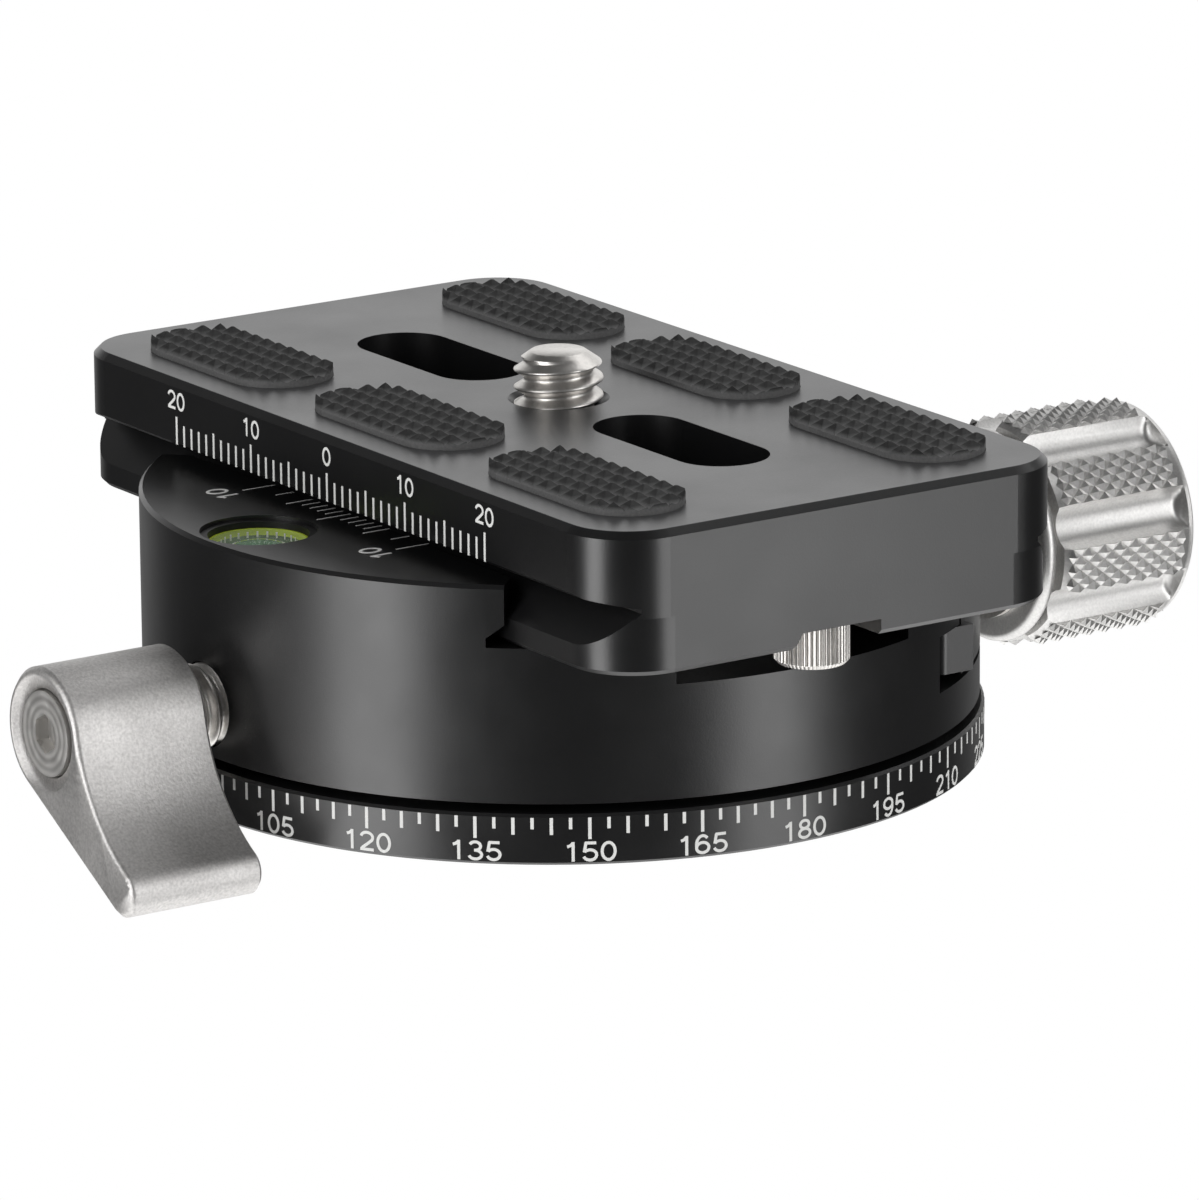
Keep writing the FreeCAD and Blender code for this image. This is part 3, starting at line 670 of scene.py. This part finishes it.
def knobPlace():
    # The knob's local Z is the clamp axis outwards, and its first flute lies towards -Y and up
    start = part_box("clamp_knob")[0].x
    spin = Matrix.Rotation(math.radians(knob["fluteStart"]), 4, "Z")
    axes = Matrix(((0, 0, 1, start), (-1, 0, 0, 0), (0, -1, 0, knob["axis"] * mm), (0, 0, 0, 1)))
    return axes @ spin.inverted()


def makeKnob():
    s = knob
    core = s["radius"] - s["knurl"]
    share = (core ** 2 + s["radius"] ** 2 - s["fluteRadius"] ** 2) / (2 * core * s["radius"])
    edge = math.acos(share)
    step = 2 * math.pi / s["flutes"]
    turns = []
    for i in range(s["flutes"]):
        turns += [step * i + edge * (2 * k / s["fluteSteps"] - 1) for k in range(s["fluteSteps"])]
        turns += [step * i + edge + (step - 2 * edge) * k / s["landSteps"] for k in range(s["landSteps"])]
    rimRound = s["flangeWide"] / 2
    rim = []
    for k in range(s["rimSteps"] + 1):
        turn = math.pi * k / s["rimSteps"]
        rim.append((rimRound - rimRound * math.cos(turn), s["flange"] - rimRound + rimRound * math.sin(turn)))
    gripStart = s["flangeWide"] + s["neckWide"]
    gripEnd = gripStart + s["length"]
    endFace = gripEnd + s["endWide"]

    def cut(limit):
        return lambda turn: fluteCut(turn, limit)

    def rising(share, limit):
        # The flute's floor climbs on a quarter round to meet the end disc
        lift = 1 - math.sqrt(1 - share ** 2)
        return lambda turn: fluteCut(turn, limit) + (s["endRadius"] - fluteCut(turn, s["endRadius"])) * lift

    rings = [(s["boreDeep"], 0), (s["boreDeep"], s["bore"]), (0, s["bore"])] + rim
    rings += [(s["flangeWide"], s["neck"]), (gripStart, s["neck"]), (gripStart, cut(core - s["shoulder"])),
              (gripStart + s["shoulder"], cut(core)), (gripEnd - s["slope"], cut(core))]
    for k in range(1, s["climbSteps"]):
        share = k / s["climbSteps"]
        height = gripEnd - s["slope"] + s["slope"] * k / s["climbSteps"]
        rings.append((height, rising(share, core + (s["endRadius"] - core) * share)))
    rings += [(gripEnd, s["endRadius"]), (endFace - s["endRound"], s["endRadius"]),
              (endFace, s["endRadius"] - s["endRound"]), (endFace, s["dish"]),
              (endFace - s["dishDeep"], s["dish"] - s["dishDeep"]), (endFace - s["dishDeep"], 0)]
    bm = bmesh.new()
    loftRings(bm, rings, turns)

    # Knurl on the lands: rows of points, each row turned by half a point
    rows = []
    half = s["diamondAlong"] / 2
    count = int((s["length"] - s["shoulder"] - s["slope"]) / half)
    for row in range(count + 1):
        for i in range(s["diamondsRound"]):
            turn = 2 * math.pi * (i + row % 2 / 2) / s["diamondsRound"]
            if fluteCut(turn, core) < core:
                continue
            out = Vector((math.cos(turn), math.sin(turn), 0))
            height = gripStart + s["shoulder"] + row * half
            rows.append(((out * core + Vector((0, 0, height))) * mm, out, (0, 0, 1), 0))
    across = math.pi * core / s["diamondsRound"]
    points = growMesh(guidePoints("knurlGuide", rows), pointTree, {
        "Half Along": half * mm, "Half Across": across * mm, "Height": s["knurl"] * mm,
        "Finish": finishes["silver"]})
    for v in points.vertices:
        # What reaches into a flute or past the grip's ends is drawn back to the edge
        turn = math.atan2(v.co.y, v.co.x)
        away = (turn + step / 2) % step - step / 2
        if abs(away) < edge:
            turn += math.copysign(edge, away) - away
            r = v.co.xy.length
            v.co.x, v.co.y = r * math.cos(turn), r * math.sin(turn)
        lowest, highest = gripStart + s["knurlFrom"], gripEnd - s["slope"] + s["knurlPast"]
        v.co.z = min(highest * mm, max(lowest * mm, v.co.z))
    bm.from_mesh(points)
    piece = showMesh("knurledKnob", bm, "silver", knobPlace(), sharp=28)
    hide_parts("clamp_knob")
    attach(piece, "knob")


makeKnob()
print("knob done")


# Lever

lever = {"soft": 62}


def makeLever():
    # The casting's narrow edge bands shade as rounded edges, up to the soft angle, while its faces stay flat
    piece = showMesh("blastedLever", cadPart("lever_handle"), "pearl", sharp=lever["soft"])
    even = piece.modifiers.new("evenShading", "WEIGHTED_NORMAL")
    even.keep_sharp = True
    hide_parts("lever_handle")
    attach(piece, "lever")


makeLever()
print("lever done")


# Threads: the camera screw and the lock stud

cameraThread = {"radius": 3.175, "pitch": 1.27, "depth": 0.72, "crest": 0.1, "root": 0.16, "steps": 16,
                "columns": 96, "tip": 1.95, "tipHeight": 0.86, "sunk": 0.3}
studThread = {"radius": 3.0, "pitch": 1.0, "depth": 0.56, "crest": 0.12, "root": 0.16, "steps": 12,
              "columns": 72, "overlap": 0.1}


def makeCameraScrew():
    s = cameraThread
    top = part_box("camera_screw")[1].z / mm
    start = plateHigh.z / mm - s["sunk"]
    slope = (s["radius"] - s["tip"]) / s["tipHeight"]
    bm = cadPart("camera_screw", (2, start * mm))
    threadOn(bm, s, start, top, lambda height: s["tip"] + (top - height) * slope)
    loftRings(bm, [(top, 0), (top, s["tip"])], evenTurns(s["columns"]))
    piece = showMesh("threadedCameraScrew", bm, "steel", sharp=30)
    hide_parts("camera_screw")
    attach(piece, "camera_bolt")


def makeLockStud():
    s = studThread
    low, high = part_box("lock_stud")
    axis = (low.z + high.z) / 2
    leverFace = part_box("lever_handle")[1].x
    start, end = -high.x / mm, -leverFace / mm
    bm = bmesh.new()
    threadOn(bm, s, start, end, lambda height: s["radius"])
    for height in (start, end):
        loftRings(bm, [(height, 0), (height, s["radius"])], evenTurns(s["columns"]))
    bm.transform(Matrix(((0, 0, -1, 0), (0, 1, 0, 0), (1, 0, 0, axis), (0, 0, 0, 1))))
    addTo(bm, cadPart("lock_stud", (0, leverFace + s["overlap"] * mm)))
    piece = showMesh("threadedLockStud", bm, "steel", sharp=30)
    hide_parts("lock_stud")
    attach(piece, "lock")


makeCameraScrew()
makeLockStud()
print("threads done")


# The lever's spring, coiled over the length of its CAD node; the real spring is pressed together as the lever
# is pulled out

coil = {"wire": 0.36, "turns": 6.5, "sides": 8, "steps": 28, "travel": 2.4, "play": 0.04}


def makeLeverSpring():
    s = coil
    low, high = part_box("lever_spring")
    axis = (low.z + high.z) / 2
    half = s["wire"] / 2
    radius = (high.z - low.z) / 2 / mm - half
    length = (high.x - low.x) / mm
    count = int(s["turns"] * s["steps"])
    bm = bmesh.new()
    rings = []
    for i in range(count + 1):
        turn = 2 * math.pi * i / s["steps"]
        out = Vector((math.cos(turn), math.sin(turn), 0))
        height = half + (length - s["wire"]) * i / count
        ring = []
        for around in evenTurns(s["sides"]):
            rise = Vector((0, 0, height + half * math.sin(around)))
            ring.append(bm.verts.new((out * (radius + half * math.cos(around)) + rise) * mm))
        rings.append(ring)
    for a, b in zip(rings, rings[1:]):
        for k in range(s["sides"]):
            n = (k + 1) % s["sides"]
            bm.faces.new((a[k], a[n], b[n], b[k]))
    bm.faces.new(rings[0])
    bm.faces.new(rings[-1])
    place = Matrix(((0, 0, -1, high.x), (0, 1, 0, 0), (1, 0, 0, axis), (0, 0, 0, 1)))
    piece = showMesh("coiledLeverSpring", bm, "steel", place)
    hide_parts("lever_spring")
    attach(piece, "lock")
    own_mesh(piece)


makeLeverSpring()
print("lever spring done")


# Stop screws with straight-knurled heads

stopHead = {"radius": 2.65, "height": 3.4, "teeth": 52, "tooth": 0.13, "toothSteps": 4, "edge": 0.3,
            "hex": 2.5, "hexDeep": 1.6, "shank": 1.5}


def makeStopScrews():
    s = stopHead
    low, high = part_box("stop_screws")
    stopY = high.y / mm - s["radius"]
    count = s["teeth"] * s["toothSteps"]

    def ribbed(turn):
        ripple = abs((turn * s["teeth"] / (2 * math.pi)) % 1 - 0.5) * 2
        return s["radius"] - s["tooth"] * ripple ** 2

    def sixSided(turn):
        return s["hex"] / 2 / math.cos(turn % (math.pi / 3) - math.pi / 6)

    foot = low.z / mm
    top = foot + s["height"]
    flat = s["radius"] - s["edge"]
    rings = [(foot + s["hexDeep"], 0), (foot + s["hexDeep"], sixSided), (foot, sixSided), (foot, flat),
             (foot + s["edge"], ribbed), (top - s["edge"] / 2, ribbed), (top, flat), (top, s["shank"]),
             (high.z / mm, s["shank"]), (high.z / mm, 0)]
    bm = bmesh.new()
    for y in (-stopY, stopY):
        screw = bmesh.new()
        loftRings(screw, rings, evenTurns(count))
        addTo(bm, screw, Matrix.Translation((0, y * mm, 0)))
    piece = showMesh("knurledStopScrews", bm, "steel", sharp=30)
    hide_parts("stop_screws")
    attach(piece, "plate")


makeStopScrews()
print("stop screws done")


# Bubble level

level = {"wall": 0.16, "down": 0.56, "glass": 0.2, "glassPlay": 0.02, "dome": 0.12, "bubble": 1.9,
         "bubbleHigh": 0.34, "bubbleLift": 0.01, "ring": 1.98, "ringWide": 0.12, "ringSunk": 0.05,
         "ringProud": 0.03, "posts": 24, "postsAt": 2.65, "postHigh": 0.42, "postWide": 0.13, "columns": 96,
         "domeSteps": 8}


def makeLevel():
    s = level
    low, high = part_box("level_vial")
    middle = Matrix.Translation(((low.x + high.x) / 2, (low.y + high.y) / 2, 0))
    radius = (high.x - low.x) / 2 / mm
    foot, top = low.z / mm, high.z / mm
    rim = top - s["dome"]
    floor = top - s["down"]
    inner = radius - s["wall"]
    count = s["domeSteps"]
    turns = evenTurns(s["columns"])

    well = bmesh.new()
    loftRings(well, [(foot, 0), (foot, radius), (rim, radius), (rim, inner), (floor, inner), (floor, 0)],
              turns)
    cup = showMesh("levelWell", well, "well", middle)
    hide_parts("level_vial")

    cover = bmesh.new()
    side = inner - s["glassPlay"]
    dome = [(top - s["dome"] * (k / count) ** 2, side * k / count) for k in range(count - 1, -1, -1)]
    loftRings(cover, [(top - s["glass"], 0), (top - s["glass"], side), (rim, side)] + dome, turns)
    glass = showMesh("levelGlass", cover, "fluid", middle)

    air = bmesh.new()
    lifted = floor + s["bubbleLift"]
    steps = [k * math.pi / (2 * count) for k in range(count + 1)]
    dome = [(lifted + s["bubbleHigh"] * math.sin(a), s["bubble"] * math.cos(a)) for a in steps]
    loftRings(air, [(lifted, 0)] + dome, turns)
    bubble = showMesh("levelBubble", air, "bubble", middle)

    rows = []
    for turn in evenTurns(s["posts"]):
        out = Vector((math.cos(turn), math.sin(turn), 0))
        post = middle @ ((out * s["postsAt"] + Vector((0, 0, floor))) * mm)
        rows.append((post, out, (0, 0, 1), s["postHigh"] * mm))
    marks = printMarks("levelMarks", rows, s["postWide"])

    # A printed ring round the bubble in white ink, which also stands for the bright edge of the bubble:
    # partly painted highlight
    ring = bmesh.new()
    near, far = s["ring"] - s["ringWide"] / 2, s["ring"] + s["ringWide"] / 2
    under, over = floor - s["ringSunk"], floor + s["ringProud"]
    loftRings(ring, [(under, near), (over, near), (over, far), (under, far), (under, near)], turns)
    circle = showMesh("levelRingAndBubbleGlint", ring, "ink", middle)
    for piece in (cup, glass, bubble, marks, circle):
        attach(piece, "head")


makeLevel()
print("level done")


# Stage, light and camera

stage = {"floorDrop": 300.0, "floorRadius": 400.0, "segments": 128, "colour": "#f4f4f3", "seen": 0.75}
lamps = [
    {"name": "leftSoftbox", "from": (-0.448, -0.042, 0.07), "size": (0.22, 0.66), "watts": 1.8},
    {"name": "rightSoftbox", "from": (0.178, -0.413, 0.07), "size": (0.2, 0.66), "watts": 1.25},
    {"name": "overheadSoftbox", "from": (0.36, 0.06, 0.46), "size": (0.34, 0.34), "watts": 0.5},
]
# A white backdrop stands behind the object, seen in what is glossy, with the dim room on the camera's side
room = {"fill": 0.33, "dim": 0.06, "backdrop": (0.555, 0.831, 0.0), "side": (0.6, 0.92), "foot": (-0.42, 0.1)}
lens = {"azimuth": -33.746, "elevation": 15.086, "roll": -0.494, "place": (-351.53, -531.13, 182.29),
        "focal": 279.42, "sensor": 36.0, "clip": (0.05, 20)}


def seenDirectly(tree, others=True):
    # 1 for what the camera sees, and with others also for what metal and glass show
    path = addNode(tree, "ShaderNodeLightPath").outputs
    if not others:
        return path["Is Camera Ray"]
    mirrored = addNode(tree, "ShaderNodeMath", {"operation": "MAXIMUM"}, {
        0: path["Is Glossy Ray"], 1: path["Is Transmission Ray"]})
    return addNode(tree, "ShaderNodeMath", {"operation": "MAXIMUM"}, {
        0: path["Is Camera Ray"], 1: mirrored.outputs[0]}).outputs[0]


def makeFloor():
    s = stage
    bm = bmesh.new()
    bmesh.ops.create_circle(bm, cap_ends=True, segments=s["segments"], radius=s["floorRadius"] * mm)
    bm.transform(Matrix.Translation((0, 0, -s["floorDrop"] * mm)))
    mesh = bpy.data.meshes.new("paleFloor")
    bm.to_mesh(mesh)
    bm.free()
    floor = bpy.data.objects.new("paleFloor", mesh)
    bpy.context.scene.collection.objects.link(floor)
    material, tree, shader, place = newMaterial("paleStudioFloor", {
        "Base Color": linear(s["colour"]), "Roughness": 0.9, "Specular IOR Level": 0.0})
    shader.inputs["Emission Color"].default_value = linear("#ffffff")
    strength = addNode(tree, "ShaderNodeMath", {"operation": "MULTIPLY", 1: s["seen"]},
                       {0: seenDirectly(tree)})
    tree.links.new(strength.outputs[0], shader.inputs["Emission Strength"])
    floor.data.materials.append(material)


def makeWorld():
    s = room
    world = bpy.data.worlds.new("studio")
    world.use_nodes = True
    tree = world.node_tree
    tree.nodes.clear()
    way = addNode(tree, "ShaderNodeTexCoord").outputs["Generated"]
    facing = addNode(tree, "ShaderNodeVectorMath", {"operation": "DOT_PRODUCT", 1: s["backdrop"]}, {0: way})
    behind = ramp(tree, facing.outputs["Value"], *s["side"], kind="SMOOTHSTEP")
    above = ramp(tree, axisOf(tree, way, "Z"), *s["foot"], kind="SMOOTHSTEP")
    both = addNode(tree, "ShaderNodeMath", {"operation": "MULTIPLY"}, {0: behind, 1: above})
    mirrored = ramp(tree, both.outputs[0], 0.0, 1.0, s["dim"], 1.0)
    unseen = addNode(tree, "ShaderNodeMix", {2: s["fill"]}, {0: seenDirectly(tree), 3: mirrored})
    strength = addNode(tree, "ShaderNodeMix", {3: 1.0}, {0: seenDirectly(tree, False), 2: unseen.outputs[0]})
    light = addNode(tree, "ShaderNodeBackground", {"Color": linear("#ffffff")},
                    {"Strength": strength.outputs[0]})
    addNode(tree, "ShaderNodeOutputWorld", {}, {"Surface": light.outputs["Background"]})
    bpy.context.scene.world = world


def makeLamps():
    for s in lamps:
        light = bpy.data.lights.new(s["name"], "AREA")
        light.shape = "RECTANGLE"
        light.size, light.size_y = s["size"]
        light.energy = s["watts"]
        lamp = bpy.data.objects.new(s["name"], light)
        bpy.context.scene.collection.objects.link(lamp)
        lamp.location = s["from"]
        lamp.rotation_euler = Vector(s["from"]).to_track_quat("Z", "Y").to_euler()
        lamp.visible_camera = False  # other views may look through where a lamp hangs


def makeCamera():
    a, e, r = (math.radians(lens[key]) for key in ("azimuth", "elevation", "roll"))
    back = Vector((math.sin(a) * math.cos(e), -math.cos(a) * math.cos(e), math.sin(e)))
    right = Vector((math.cos(a), math.sin(a), 0))
    up = back.cross(right)
    rolledRight = right * math.cos(r) + up * math.sin(r)
    rolledUp = up * math.cos(r) - right * math.sin(r)
    data = bpy.data.cameras.new("photoCamera")
    data.lens = lens["focal"]
    data.sensor_width = lens["sensor"]
    data.clip_start, data.clip_end = lens["clip"]
    camera = bpy.data.objects.new("photoCamera", data)
    bpy.context.scene.collection.objects.link(camera)
    turn = Matrix((rolledRight, rolledUp, back)).transposed().to_4x4()
    camera.matrix_world = Matrix.Translation(Vector(lens["place"]) * mm) @ turn
    bpy.context.scene.camera = camera


makeFloor()
makeWorld()
makeLamps()
makeCamera()
bpy.context.scene.view_settings.view_transform = "Standard"
print("stage ready")
